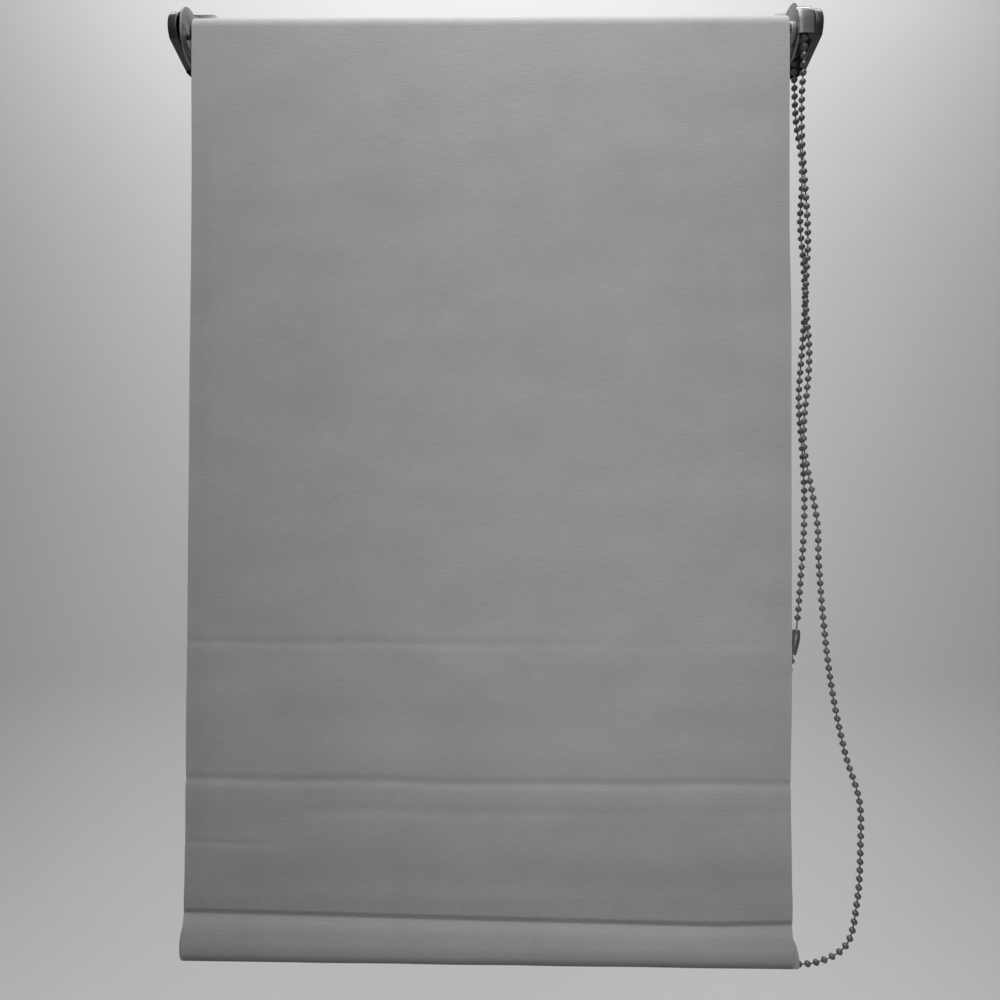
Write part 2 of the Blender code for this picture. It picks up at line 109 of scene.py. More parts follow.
FRONT_STRAND = (
    (434.3, -9.0, -650.5), (456.6, -9.0, -638.5), (464.6, -9.0, -608.6), (467.2, -9.0, -568.0),
    (466.6, -9.0, -538.0), (457.0, -9.0, -505.5), (447.2, -10.0, -460.0),
    (441.0, -11.0, -413.0), (437.2, -12.0, -369.0), (436.0, -12.7, -343.0),
    (426.5, -14.0, -291.0), (426.2, -14.2, -274.0), (429.9, -14.6, -227.0),
    (427.1, -15.4, -187.0), (428.4, -16.2, -142.0), (422.9, -20.0, -78.0),
    (421.6, -22.8, -50.0), (422.7, -24.2, -24.0),
)


# ---------------------------------------------------------------- materials

class Finish:
    """A material with one Principled shader, and short ways to add nodes to it."""

    def __init__(self, name, colour, roughness, metallic=0.0, **sockets):
        self.material = bpy.data.materials.new(name)
        self.material.use_nodes = True
        self.tree = self.material.node_tree
        self.shader = self.tree.nodes["Principled BSDF"]
        self.set(self.shader, **{"Base Color": (*colour, 1.0), "Roughness": roughness,
                                 "Metallic": metallic}, **sockets)
        self.material.diffuse_color = (*colour, 1.0)

    def set(self, node, **values):
        for socket, value in values.items():
            node.inputs[socket.replace("_", " ")].default_value = value
        return node

    def add(self, kind, settings=(), **values):
        node = self.tree.nodes.new(kind)
        for key, value in dict(settings).items():
            setattr(node, key, value)
        return self.set(node, **values)

    def link(self, output, socket):
        self.tree.links.new(output, socket)

    def coordinates(self, scale, attribute=None):
        """Object coordinates, or a named attribute, in metres, times scale."""
        if attribute:
            source = self.add("ShaderNodeAttribute", {"attribute_name": attribute})
            output = source.outputs["Vector"]
        else:
            output = self.add("ShaderNodeTexCoord").outputs["Object"]
        scaled = self.add("ShaderNodeVectorMath", {"operation": "MULTIPLY"})
        self.link(output, scaled.inputs[0])
        scaled.inputs[1].default_value = scale
        return scaled.outputs["Vector"]

    def noise(self, scale, detail=2.0, rough=0.5, attribute=None):
        node = self.add("ShaderNodeTexNoise", Scale=1.0, Detail=detail, Roughness=rough)
        self.link(self.coordinates(scale, attribute), node.inputs["Vector"])
        return node.outputs["Fac"]

    def math(self, operation, one, two=0.0):
        node = self.add("ShaderNodeMath", {"operation": operation})
        for socket, value in zip(node.inputs, (one, two)):
            if isinstance(value, (int, float)):
                socket.default_value = value
            else:
                self.link(value, socket)
        return node.outputs["Value"]

    def spread(self, factor, low, high, low_in=0.3, high_in=0.7):
        """factor, which runs from low_in to high_in, mapped to low..high."""
        node = self.add("ShaderNodeMapRange", **{"From Min": low_in, "From Max": high_in,
                                                 "To Min": low, "To Max": high})
        self.link(factor, node.inputs["Value"])
        return node.outputs["Result"]

    def colours(self, factor, stops):
        ramp = self.add("ShaderNodeValToRGB")
        elements = ramp.color_ramp.elements
        while len(elements) < len(stops):
            elements.new(0.5)
        for element, (place, colour) in zip(elements, stops):
            element.position = place
            element.color = (*colour, 1.0)
        self.link(factor, ramp.inputs["Fac"])
        return ramp.outputs["Color"]

    def mix(self, factor, one, two, blend="MIX"):
        node = self.add("ShaderNodeMix", {"data_type": "RGBA", "blend_type": blend})
        for index, value in ((0, factor), (6, one), (7, two)):
            if isinstance(value, (int, float)):
                node.inputs[index].default_value = value
            elif isinstance(value, tuple):
                node.inputs[index].default_value = (*value, 1.0)
            else:
                self.link(value, node.inputs[index])
        return node.outputs[2]

    def bump(self, height, distance_mm, after=None):
        node = self.add("ShaderNodeBump", Strength=1.0, Distance=distance_mm * MM)
        self.link(height, node.inputs["Height"])
        if after is not None:
            self.link(after, node.inputs["Normal"])
        self.link(node.outputs["Normal"], self.shader.inputs["Normal"])
        return node.outputs["Normal"]

    def use(self, socket, output):
        self.link(output, self.shader.inputs[socket])


def cloth_finish():
    """Grey coated cloth: fine weave, horizontal slubs, faint mottling, pale cut edges, and
    painted shade along the seam and along the lowest fold.
    """
    made = Finish("blind_cloth", (0.30, 0.30, 0.30), 0.72, Specular_IOR_Level=0.35)
    made.set(made.shader, Sheen_Weight=0.12, Sheen_Roughness=0.5)
    per_mm = 1.0 / MM
    slub = made.noise((0.11 * per_mm, 1.25 * per_mm, 0.0), 3.0, 0.6, "flat")
    fine = made.noise((0.55 * per_mm, 2.6 * per_mm, 0.0), 2.0, 0.6, "flat")
    mottle = made.noise((0.018 * per_mm, 0.03 * per_mm, 0.0), 2.0, 0.5, "flat")
    grain = made.math("ADD", made.math("MULTIPLY", slub, 0.55), made.math("MULTIPLY", fine, 0.45))
    tone = made.math("ADD", made.math("MULTIPLY", grain, 0.72),
                     made.math("MULTIPLY", mottle, 0.28))
    cloth_colour = made.colours(tone, ((0.34, (0.262, 0.262, 0.262)), (0.5, (0.300, 0.301, 0.299)),
                                (0.66, (0.338, 0.339, 0.336))))
    flat = made.add("ShaderNodeAttribute", {"attribute_name": "flat"})
    parts = made.add("ShaderNodeSeparateXYZ")
    made.link(flat.outputs["Vector"], parts.inputs[0])
    width = (CLOTH_X[1] - CLOTH_X[0]) * MM
    nearer = made.math("MINIMUM", parts.outputs["X"],
                       made.math("SUBTRACT", width, parts.outputs["X"]))
    edge = made.spread(nearer, 0.5, 0.0, 0.3 * MM, 1.2 * MM)
    painted_shade = []
    # painted shade: the colour is darkened in the seam's groove, and along the lowest fold where
    # the hem turns under the bar and faces down
    for below_seam, share, start, end in ((0.4, 0.62, 1.2, 2.6),
                                          (FOLD_BELOW_SEAM, 0.22, 1.5, 9.0)):
        away = made.math("ABSOLUTE", made.math("SUBTRACT", parts.outputs["Y"],
                                               (below_seam - PANEL_BOTTOM) * MM))
        painted_shade.append(made.spread(away, share, 1.0, start * MM, end * MM))
    # the painted shade is multiplied into the cloth's colour here
    cloth_colour = made.mix(1.0, cloth_colour, made.math("MULTIPLY", *painted_shade), "MULTIPLY")
    made.use("Base Color", made.mix(edge, cloth_colour, (0.31, 0.305, 0.32)))
    made.use("Roughness", made.spread(fine, 0.64, 0.80))
    warp = made.math("SINE", made.math("MULTIPLY", parts.outputs["X"], math.tau * per_mm / 0.42))
    weft = made.math("SINE", made.math("MULTIPLY", parts.outputs["Y"], math.tau * per_mm / 0.36))
    weave = made.math("MULTIPLY", warp, weft)
    under = made.bump(weave, 0.018)
    made.bump(grain, 0.16, under)
    return made.material


def moulded(name, colour, roughness, grain_mm=0.35, depth_mm=0.012, wear=0.06):
    """Moulded plastic: fine eroded grain, slightly uneven gloss and colour."""
    made = Finish(name, colour, roughness)
    grain = made.noise((1.0 / (grain_mm * MM),) * 3, 3.0, 0.55)
    cloudy = made.noise((1.0 / (7.0 * MM),) * 3, 2.0, 0.5)
    dark = tuple(c * (1 - wear) for c in colour)
    light = tuple(min(1.0, c * (1 + wear)) for c in colour)
    made.use("Base Color", made.colours(cloudy, ((0.3, dark), (0.7, light))))
    made.use("Roughness", made.spread(cloudy, roughness - 0.05, roughness + 0.05))
    made.bump(grain, depth_mm)
    return made.material


def metal(name, colour, roughness, stretch):
    """Metal with drawn or brushed lines; stretch is the grain's size along each axis."""
    made = Finish(name, colour, roughness, 1.0)
    lines = made.noise(tuple(1.0 / (s * MM) for s in stretch), 3.0, 0.6)
    cloudy = made.noise((1.0 / (9.0 * MM),) * 3, 2.0, 0.5)
    dark = tuple(c * 0.9 for c in colour)
    made.use("Base Color", made.colours(lines, ((0.3, dark), (0.7, colour))))
    uneven = made.math("ADD", made.spread(lines, -0.08, 0.08),
                       made.spread(cloudy, roughness - 0.03, roughness + 0.03))
    made.use("Roughness", uneven)
    made.bump(lines, 0.006)
    return made.material


def soft_strip(name, colour, roughness, cell_mm, depth_mm):
    """Foam or paper: small open cells."""
    made = Finish(name, colour, roughness)
    cells = made.add("ShaderNodeTexVoronoi", Scale=1.0 / (cell_mm * MM))
    made.link(made.add("ShaderNodeTexCoord").outputs["Object"], cells.inputs["Vector"])
    dark = tuple(c * 0.86 for c in colour)
    made.use("Base Color", made.colours(cells.outputs["Distance"], ((0.0, dark), (0.5, colour))))
    made.bump(cells.outputs["Distance"], depth_mm)
    return made.material


CLOTH = cloth_finish()
STEEL = metal("bracket_steel", (0.29, 0.29, 0.295), 0.52, (0.25, 0.25, 5.0))
SCREW_STEEL = metal("screw_steel", (0.62, 0.62, 0.62), 0.28, (2.0, 0.4, 0.4))
SPRING_STEEL = metal("spring_steel", (0.42, 0.42, 0.43), 0.3, (0.3, 1.0, 1.0))
TUBE_METAL = metal("tube_metal", (0.83, 0.83, 0.84), 0.22, (12.0, 0.25, 0.25))
BAR_METAL = metal("bar_metal", (0.72, 0.72, 0.73), 0.36, (14.0, 0.3, 0.3))
DARK_PLASTIC = moulded("dark_cover", (0.020, 0.025, 0.021), 0.33, wear=0.15)
HOUSING_PLASTIC = moulded("grey_housing", (0.085, 0.090, 0.082), 0.26)
PLUG_PLASTIC = moulded("plug_plastic", (0.24, 0.24, 0.235), 0.20)
BLACK_PLASTIC = moulded("black_plastic", (0.014, 0.014, 0.015), 0.42, wear=0.15)
WHEEL_PLASTIC = moulded("wheel_plastic", (0.040, 0.040, 0.041), 0.36)
CHAIN_PLASTIC = moulded("chain", (0.085, 0.083, 0.090), 0.28, grain_mm=0.5, wear=0.2)
CAP_PLASTIC = moulded("cap_plastic", (0.31, 0.31, 0.315), 0.50)
FOAM = soft_strip("foam", (0.80, 0.79, 0.76), 0.9, 0.55, 0.05)
THREAD = moulded("sewing_thread", (0.20, 0.20, 0.215), 0.6, grain_mm=0.2, depth_mm=0.02)
TAPE = soft_strip("tape", (0.78, 0.76, 0.68), 0.6, 1.2, 0.02)


# ---------------------------------------------------------------- mesh helpers

@contextmanager
def editing(mesh):
    """The mesh as a bmesh, written back at the end."""
    builder = bmesh.new()
    builder.from_mesh(mesh)
    yield builder
    builder.to_mesh(mesh)
    builder.free()


def make_object(name, points, faces, material, sharp=35.0):
    """Mesh object from points in millimetres, its faces turned outward."""
    mesh = bpy.data.meshes.new(name)
    mesh.from_pydata([tuple(v) for v in np.asarray(points, float) * MM], [], faces)
    with editing(mesh) as builder:
        bmesh.ops.recalc_face_normals(builder, faces=builder.faces)
    return add_mesh(name, mesh, material, sharp)


def add_mesh(name, mesh, material, sharp=35.0):
    mesh.materials.clear()
    mesh.materials.append(material)
    mesh.shade_smooth()
    mesh.set_sharp_from_angle(angle=math.radians(sharp))
    item = bpy.data.objects.new(name, mesh)
    bpy.context.scene.collection.objects.link(item)
    return item


def running_lengths(steps):
    return np.concatenate(([0.0], np.cumsum(steps)))


def end_faces(rings, count):
    """The two faces that close a stack of rings."""
    last = (rings - 1) * count
    return [tuple(range(count)), tuple(range(last + count - 1, last - 1, -1))]


def ring_faces(rings, count, wrap, loop=False):
    faces = []
    for i in range(rings if loop else rings - 1):
        a, b = i * count, (i + 1) % rings * count
        for j in range(count if wrap else count - 1):
            k = (j + 1) % count
            faces.append((a + j, a + k, b + k, b + j))
    return faces


def loft(name, rings, material, wrap=True, caps=True, loop=False, sharp=35.0):
    """Surface through rings of points, each ring with the same number of points."""
    count = len(rings[0])
    faces = ring_faces(len(rings), count, wrap, loop)
    if caps and not loop:
        faces += end_faces(len(rings), count)
    return make_object(name, [p for ring in rings for p in ring], faces, material, sharp)


def fillet(points, size, closed=True, steps=3):
    """Points of a polyline with each corner rounded by up to size."""
    places = [np.array(p, float) for p in points]
    rounded = []
    for i, place in enumerate(places):
        if not closed and i in (0, len(places) - 1):
            rounded.append(place)
            continue
        before, after = places[i - 1] - place, places[(i + 1) % len(places)] - place
        one, two = np.linalg.norm(before), np.linalg.norm(after)
        cut = min(size, 0.45 * one, 0.45 * two)
        start, end = place + before / one * cut, place + after / two * cut
        for k in range(steps + 1):
            t = k / steps
            rounded.append((1 - t) ** 2 * start + 2 * t * (1 - t) * place + t * t * end)
    return rounded


def lathe(name, profile, material, steps=72, size=0.25, centre=(AXIS_Y, 0.0)):
    """Turned piece about an axis along X: profile holds (x, radius).

    A profile whose first and last radius is 0 is a solid, any other is a closed loop.
    """
    solid = profile[0][1] == 0
    if solid:
        outline = fillet(profile, size, closed=False)
        outline = [(p[0], max(p[1], 0.02)) for p in outline]
    else:
        outline = fillet(profile, size)
    turns = [math.tau * i / steps for i in range(steps)]
    rings = [[(x, centre[0] + r * math.cos(t), centre[1] + r * math.sin(t)) for t in turns]
             for x, r in outline]
    return loft(name, rings, material, caps=solid, loop=not solid)


def arc(centre, radius, start, end, count):
    return [
        (centre[0] + radius * math.cos(math.radians(start + (end - start) * i / count)),
         centre[1] + radius * math.sin(math.radians(start + (end - start) * i / count)))
        for i in range(count + 1)
    ]


def circle(centre, radius, count=40):
    return arc(centre, radius, 0, 360 - 360 / count, count - 1)


PLANES = {
    "YZ": (Matrix(((0, 0, 1), (1, 0, 0), (0, 1, 0))), Vector((1, 0, 0))),
    "XZ": (Matrix(((1, 0, 0), (0, 0, -1), (0, 1, 0))), Vector((0, 1, 0))),
}


def plate(name, outlines, plane, low, high, material, edge=0.0):
    """Flat plate from outlines, from low to high, with its edges rounded by edge."""
    data = bpy.data.curves.new(name, "CURVE")
    data.dimensions = "2D"
    data.fill_mode = "BOTH"
    data.extrude = ((high - low) / 2 - edge) * MM
    data.bevel_depth = edge * MM
    data.bevel_resolution = 2
    data.offset = -edge * MM
    for outline in outlines:
        spline = data.splines.new("POLY")
        spline.points.add(len(outline) - 1)
        for point, (across, up) in zip(spline.points, outline):
            point.co = (across * MM, up * MM, 0, 1)
        spline.use_cyclic_u = True
    item = bpy.data.objects.new(name, data)
    bpy.context.scene.collection.objects.link(item)
    turn, normal = PLANES[plane]
    item.matrix_world = Matrix.Translation(normal * ((low + high) / 2 * MM)) @ turn.to_4x4()
    return settle(item, name, material)


def settle(item, name, material):
    """Replace an object by its evaluated mesh, in the frame's axes, welded."""
    bpy.context.view_layer.update()
    graph = bpy.context.evaluated_depsgraph_get()
    mesh = bpy.data.meshes.new_from_object(item.evaluated_get(graph))
    mesh.transform(item.matrix_world)
    with editing(mesh) as builder:
        bmesh.ops.remove_doubles(builder, verts=builder.verts, dist=1e-7)
        bmesh.ops.recalc_face_normals(builder, faces=builder.faces)
    bpy.data.objects.remove(item, do_unlink=True)
    return add_mesh(name, mesh, material)


def cut(target, tool, operation):
    """Boolean of two meshes; the tool is used up."""
    step = target.modifiers.new(operation, "BOOLEAN")
    step.operation = operation
    step.object = tool
    step.solver = "EXACT"
    made = settle(target, target.name, target.data.materials[0])
    bpy.data.objects.remove(tool, do_unlink=True)
    return made


def soften(item, width):
    """Bevel the edges that turn by more than 30 degrees."""
    step = item.modifiers.new("Bevel", "BEVEL")
    step.width = width * MM
    step.segments = 2
    step.limit_method = "ANGLE"
    step.angle_limit = math.radians(30.0)
    return settle(item, item.name, item.data.materials[0])


def join(name, items):
    """One mesh object from several, with the first one's material."""
    mesh = bpy.data.meshes.new(name)
    with editing(mesh) as builder:
        for item in items:
            builder.from_mesh(item.data)
    material = items[0].data.materials[0]
    for item in items:
        bpy.data.objects.remove(item, do_unlink=True)
    return add_mesh(name, mesh, material)


def place(item, body, slot, *nodes):
    """Ride on a body, and stand for CAD nodes; slot is not used."""
    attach(item, body)
    if nodes:
        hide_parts(*nodes)
    return item


def scatter(name, template, faces, centres, frames, material, extra=None):
    """Copies of a small mesh at many places; frames holds a 3x3 for each."""
    parts = [(template @ turn.T + centre, faces) for centre, turn in zip(centres, frames)]
    if extra is not None:
        parts.append(extra)
    all_faces, start = [], 0
    for points, part_faces in parts:
        all_faces += [tuple(start + i for i in face) for face in part_faces]
        start += len(points)
    points = np.concatenate([points for points, _ in parts])
    return make_object(name, points, all_faces, material, 60.0)


def ball(around=14, along=9):
    """Unit ball whose poles lie on its own X axis."""
    points = [(1.0, 0.0, 0.0)]
    for i in range(1, along):
        polar = math.pi * i / along
        points += [(math.cos(polar), math.sin(polar) * math.cos(math.tau * j / around),
                    math.sin(polar) * math.sin(math.tau * j / around)) for j in range(around)]
    points.append((-1.0, 0.0, 0.0))
    faces = [(0, 1 + (j + 1) % around, 1 + j) for j in range(around)]
    faces += [tuple(i + 1 for i in face) for face in ring_faces(along - 1, around, True)]
    last, base = len(points) - 1, 1 + (along - 2) * around
    faces += [(last, base + j, base + (j + 1) % around) for j in range(around)]
    return np.array(points), faces


def directions(points):
    """Unit direction of a path at each of its points."""
    steps = np.gradient(points, axis=0)
    return steps / np.linalg.norm(steps, axis=1)[:, None]


def frame_along(direction, turn=0.0):
    """3x3 whose first column is direction, turned about it."""
    helper = np.array((0.0, 1.0, 0.0)) if abs(direction[1]) < 0.9 else np.array((1.0, 0, 0))
    side = np.cross(direction, helper)
    side /= np.linalg.norm(side)
    other = np.cross(direction, side)
    one = side * math.cos(turn) + other * math.sin(turn)
    two = np.cross(direction, one)
    return np.stack((direction, one, two), axis=1)


def tube(points, radius, sides=8):
    """Points and faces of a round tube along a path."""
    along = directions(points)
    rings = []
    side = np.cross(along[0], (0.0, 1.0, 0.0))
    for place_at, direction in zip(points, along):
        side = side - direction * side.dot(direction)
        side /= np.linalg.norm(side)
        other = np.cross(direction, side)
        rings += [place_at + radius * (side * math.cos(math.tau * j / sides)
                                       + other * math.sin(math.tau * j / sides))
                  for j in range(sides)]
    return np.array(rings), (ring_faces(len(points), sides, True)
                             + end_faces(len(points), sides))


# ---------------------------------------------------------------- camera

def make_camera():
    """Camera in front of the blind, about level, near the middle of its width."""
    place_m = (0.2200, -0.5108, -0.3332)
    yaw, pitch, roll = -0.01157, 0.01146, 0.00299
    right = Vector((math.cos(yaw), -math.sin(yaw), 0))
    ahead = Vector((math.sin(yaw) * math.cos(pitch), math.cos(yaw) * math.cos(pitch),
                    math.sin(pitch)))
    above = right.cross(ahead)
    across = math.cos(roll) * right + math.sin(roll) * above
    upward = -math.sin(roll) * right + math.cos(roll) * above
    data = bpy.data.cameras.new("camera")
    data.lens = 25.52
    data.sensor_width = 36.0
    data.clip_start = 0.02
    item = bpy.data.objects.new("camera", data)
    item.matrix_world = Matrix.Translation(place_m) @ Matrix(
        (across, upward, -ahead)).transposed().to_4x4()
    bpy.context.scene.collection.objects.link(item)
    bpy.context.scene.camera = item


make_camera()


# ---------------------------------------------------------------- bead chain

def smooth_route(points, step=0.5):
    """Points about step apart on a centripetal spline through the given points."""
    places = [np.array(p, float) for p in points]
    places = [2 * places[0] - places[1], *places, 2 * places[-1] - places[-2]]
    dense = []
    for a, b, c, d in zip(places, places[1:], places[2:], places[3:]):
        t1 = math.sqrt(np.linalg.norm(b - a))
        t2 = t1 + math.sqrt(np.linalg.norm(c - b))
        t3 = t2 + math.sqrt(np.linalg.norm(d - c))
        count = max(2, int(np.linalg.norm(c - b) / step))
        for i in range(count):
            t = t1 + (t2 - t1) * i / count
            ab = a * ((t1 - t) / t1) + b * (t / t1)
            bc = b * ((t2 - t) / (t2 - t1)) + c * ((t - t1) / (t2 - t1))
            cd = c * ((t3 - t) / (t3 - t2)) + d * ((t - t2) / (t3 - t2))
            abc = ab * ((t2 - t) / t2) + bc * (t / t2)
            bcd = bc * ((t3 - t) / (t3 - t1)) + cd * ((t - t1) / (t3 - t1))
            dense.append(abc * ((t2 - t) / (t2 - t1)) + bcd * ((t - t1) / (t2 - t1)))
    dense.append(places[-2])
    return dense


def along_path(path, wants):
    """Points at the wanted lengths along a path."""
    lengths = running_lengths(np.linalg.norm(np.diff(path, axis=0), axis=1))
    return np.stack([np.interp(wants, lengths, path[:, k]) for k in range(3)], axis=1)


def chain_path():
    """Centre line of the chain, and its length up to the rear of the wheel."""
    top, end = np.array(CONNECTOR_TOP), np.array(CONNECTOR_END)
    lean = (top - end) / np.linalg.norm(top - end)
    over_wheel = [
        np.array((CHAIN_X, AXIS_Y + CHAIN_PITCH_R * math.cos(math.radians(a)),
                  CHAIN_PITCH_R * math.sin(math.radians(a)))) for a in range(0, 181, 3)]
    rear = smooth_route([top + lean * PART_GAP, *reversed(REAR_STRAND), over_wheel[0]])
    front = smooth_route([over_wheel[-1], *reversed(FRONT_STRAND), *reversed(HIDDEN_STRAND),
                          end - lean * PART_GAP])
    rear_length = sum(np.linalg.norm(b - a) for a, b in zip(rear, rear[1:]))
    return np.array(rear[:-1] + over_wheel + front[1:]), rear_length


def make_chain():
    path, rear_length = chain_path()
    length = np.linalg.norm(np.diff(path, axis=0), axis=1).sum()
    in_notch = rear_length + CHAIN_PITCH_R * math.radians(18.0)   # a bead sits in each notch
    first = in_notch % BEAD_PITCH
    if first < BEAD_HALF:
        first += BEAD_PITCH
    wants = np.arange(first, length - BEAD_HALF * 0.5, BEAD_PITCH)
    centres = along_path(path, wants)
    ahead = along_path(path, wants + 0.5) - along_path(path, wants - 0.5)
    ahead /= np.linalg.norm(ahead, axis=1)[:, None]
    template, faces = ball(16, 10)
    radii = np.array((BEAD_HALF, BEAD_R, BEAD_R))
    # each bead has a small collar where the thread enters
    template = template * radii
    collar = np.abs(template[:, 0]) > 0.93 * BEAD_HALF
    template[collar, 0] *= 1.06
    frames = [frame_along(d, 0.7 * i) for i, d in enumerate(ahead)]
    thread = tube(along_path(path, np.arange(0.0, length, 1.5)), THREAD_R)
    chain = scatter("bead_chain_beads", template, faces, centres, frames, CHAIN_PLASTIC, thread)
    place(chain, "fixed", "chain", "bead_chain")

    top, end = Vector(CONNECTOR_TOP), Vector(CONNECTOR_END)
    long = (top - end).length
    profile = [(0.0, 0.0), (0.0, 2.0), (-0.5, 2.5), (-2.6, 2.95), (-3.2, 2.7), (-3.8, 3.05),
               (-7.0, 3.1), (-10.5, 2.9), (-long + 2.2, 2.35), (-long + 1.6, 2.1),
               (-long + 1.0, 2.3), (-long, 1.8), (-long, 0.0)]
    clip = lathe("chain_connector_clip", profile, CHAIN_PLASTIC, 40, 0.4, (0.0, 0.0))
    turn = (top - end).to_track_quat("X", "Z").to_matrix().to_4x4()
    clip.data.transform(Matrix.Translation(top * MM) @ turn)
    place(clip, "fixed", "chain", "chain_connector")


make_chain()


# ---------------------------------------------------------------- brackets and covers

def cheek_outline(back, top):
    bottom = CHEEK_Z[0]
    centre_y = CHEEK_FRONT + CHEEK_R
    outline = [(back, bottom), (back, top)]
    outline += arc((centre_y, top - CHEEK_R), CHEEK_R, 90, 180, 28)
    outline += arc((centre_y, bottom + CHEEK_R), CHEEK_R, 180, 270, 28)
    return outline


def flange_outline(low, high, top, rounded):
    bottom = FLANGE_Z[0]
    r = FLANGE_R
    if rounded > 0:
        return ([(low, bottom)] + arc((high - r, bottom + r), r, 270, 360, 10)
                + arc((high - r, top - r), r, 0, 90, 10) + [(low, top)])
    return ([(high, top)] + arc((low + r, top - r), r, 90, 180, 10)
            + arc((low + r, bottom + r), r, 180, 270, 10) + [(high, bottom)])


def round_edges_at(item, x, y, size):
    """Round the upright edges that stand at (x, y)."""
    with editing(item.data) as builder:
        found = [e for e in builder.edges
                 if all(abs(v.co.x / MM - x) < 0.02 and abs(v.co.y / MM - y) < 0.02
                        for v in e.verts)]
        bmesh.ops.bevel(builder, geom=found, offset=size * MM, offset_type="OFFSET",
                        segments=4, profile=0.5, affect="EDGES", clamp_overlap=True)


def make_bracket(side, inner_x, hole_r, peg_holes, sunk):
    """Bent steel bracket with its foam pad.

    sunk says how much lower the tops of its cheek and flange are than in the CAD.
    """
    cheek_top, flange_top = CHEEK_Z[1] - sunk[0], FLANGE_Z[1] - sunk[1]
    outer_x = inner_x + side * PLATE_T
    free_x = FLANGE_FREE_X[side > 0]
    low, high = sorted((outer_x, free_x))
    middle = (inner_x + free_x) / 2
    back = -(PAD_T + PART_GAP)
    front = back - PLATE_T
    name = "left" if side < 0 else "right"
    holes = [circle((middle, z), SCREW_HOLE_R, 28) for z in SCREW_HOLES_Z]
    flange = plate(f"{name}_bracket_plate",
                   [flange_outline(low, high, flange_top, -side), *holes], "XZ",
                   front, back, STEEL)
    cheek_holes = [circle((AXIS_Y, 0.0), hole_r)]
    if peg_holes:
        cheek_holes += [circle(at, PEG_R + PART_GAP, 20) for at in PEG_YZ]
    cheek = plate("cheek_blank", [cheek_outline(back - 0.2, cheek_top), *cheek_holes], "YZ",
                  *sorted((inner_x, outer_x)), STEEL)
    bracket = cut(flange, cheek, "UNION")
    round_edges_at(bracket, outer_x, back, 1.1)
    round_edges_at(bracket, inner_x, front, 0.6)
    bracket = soften(bracket, 0.14)
    place(bracket, "fixed", "bracket_steel", f"{name}_bracket")

    pad_low, pad_high = sorted((outer_x + side * -0.4, free_x + side * 0.4))
    pad = plate(f"{name}_foam_pad", [flange_outline(pad_low, pad_high, flange_top, -side)], "XZ",
                -PAD_T, 0.0, FOAM, 0.12)
    place(pad, "fixed", "foam", f"{name}_adhesive_pad")


def cover_ring(x, inset):
    """Side outline of a cover, drawn in by inset, as points at x: round, then sloping."""
    back, radius = -PART_GAP - inset, COVER_R - inset
    outline = [(back, COVER_BOTTOM_Z + inset), (back, radius)]
    outline += arc((AXIS_Y, 0.0), radius, 90, COVER_FRONT_ANGLE, 60)
    return [(x, p[0], p[1]) for p in fillet(outline, 1.4, steps=4)]


def apron_outline(side, outer_x, width):
    """Flat apron at the back of a cover, seen from the front, cut off at width."""
    edge = [(d, z) for d, z in APRON_BOTTOM if d < width]
    if width < APRON_BOTTOM[-1][0]:
        one, two = edge[-1], APRON_BOTTOM[len(edge)]
        share = (width - one[0]) / (two[0] - one[0])
        edge.append((width, one[1] + share * (two[1] - one[1])))
    inner, join_z = COVER_W - 0.6, COVER_BOTTOM_Z + 0.8
    edge += [(width, APRON_TOP_Z), (inner, APRON_TOP_Z), (inner, join_z), (edge[0][0], join_z)]
    outline = [(outer_x - side * d, z) for d, z in edge]
    return outline if side < 0 else outline[::-1]


def make_cover(side, outer_x, peg_to, apron_width):
    """Dark shell: rounded outer edge, thin inner lip, two pegs, an apron along the sash."""
    stations = ((0.0, 9.0), (0.0, 3.0), (0.02, 1.5), (0.07, 0.9), (0.2, 0.5), (0.4, 0.22),
                (0.7, 0.05), (1.0, 0.0), (5.5, 0.0), (5.68, 0.04), (5.8, 0.2),
                (5.8, 1.0), (5.68, 1.16), (5.5, 1.2), (2.0, 1.2), (1.4, 1.5), (1.2, 2.2))
    rings = [cover_ring(outer_x - side * depth, inset) for depth, inset in stations]
    name = "left" if side < 0 else "right"
    shell = loft(f"{name}_cover_shell", rings, DARK_PLASTIC, sharp=40.0)
    low, high = sorted((outer_x - side * (COVER_WALL - 0.4), peg_to))
    pegs = [plate(f"peg_{z}", [circle((y, z), PEG_R, 24)], "YZ", low, high, DARK_PLASTIC, 0.25)
            for y, z in PEG_YZ]
    apron = plate("apron", [apron_outline(side, outer_x, apron_width)], "XZ",
                  -PART_GAP - COVER_WALL + 0.1, -PART_GAP - 0.02, DARK_PLASTIC, 0.15)
    cover = join(f"{name}_cover_shell", [shell, *pegs, apron])
    place(cover, "fixed", "dark_cover", f"{name}_cover")


make_bracket(-1, LEFT_CHEEK_X, 2.3, True, (1.4, 1.2))
make_bracket(1, RIGHT_CHEEK_X, HUB_R[1] + 0.4, False, (0.7, 2.2))
make_cover(-1, LEFT_COVER_X, LEFT_CHEEK_X, 5.6)
make_cover(1, RIGHT_COVER_X, HOUSING_X[1] + PART_GAP, 13.4)


# ---------------------------------------------------------------- idle and drive ends

def coil(name, low, high, mean_r, wire_r, turns, per_turn=28):
    count = int(turns * per_turn)
    low, high = low + wire_r, high - wire_r
    points = [(low + (high - low) * i / count,
               AXIS_Y + mean_r * math.cos(math.tau * i / per_turn),
               mean_r * math.sin(math.tau * i / per_turn)) for i in range(count + 1)]
    points, faces = tube(np.array(points), wire_r, 10)
    return make_object(name, points, faces, SPRING_STEEL, 60.0)


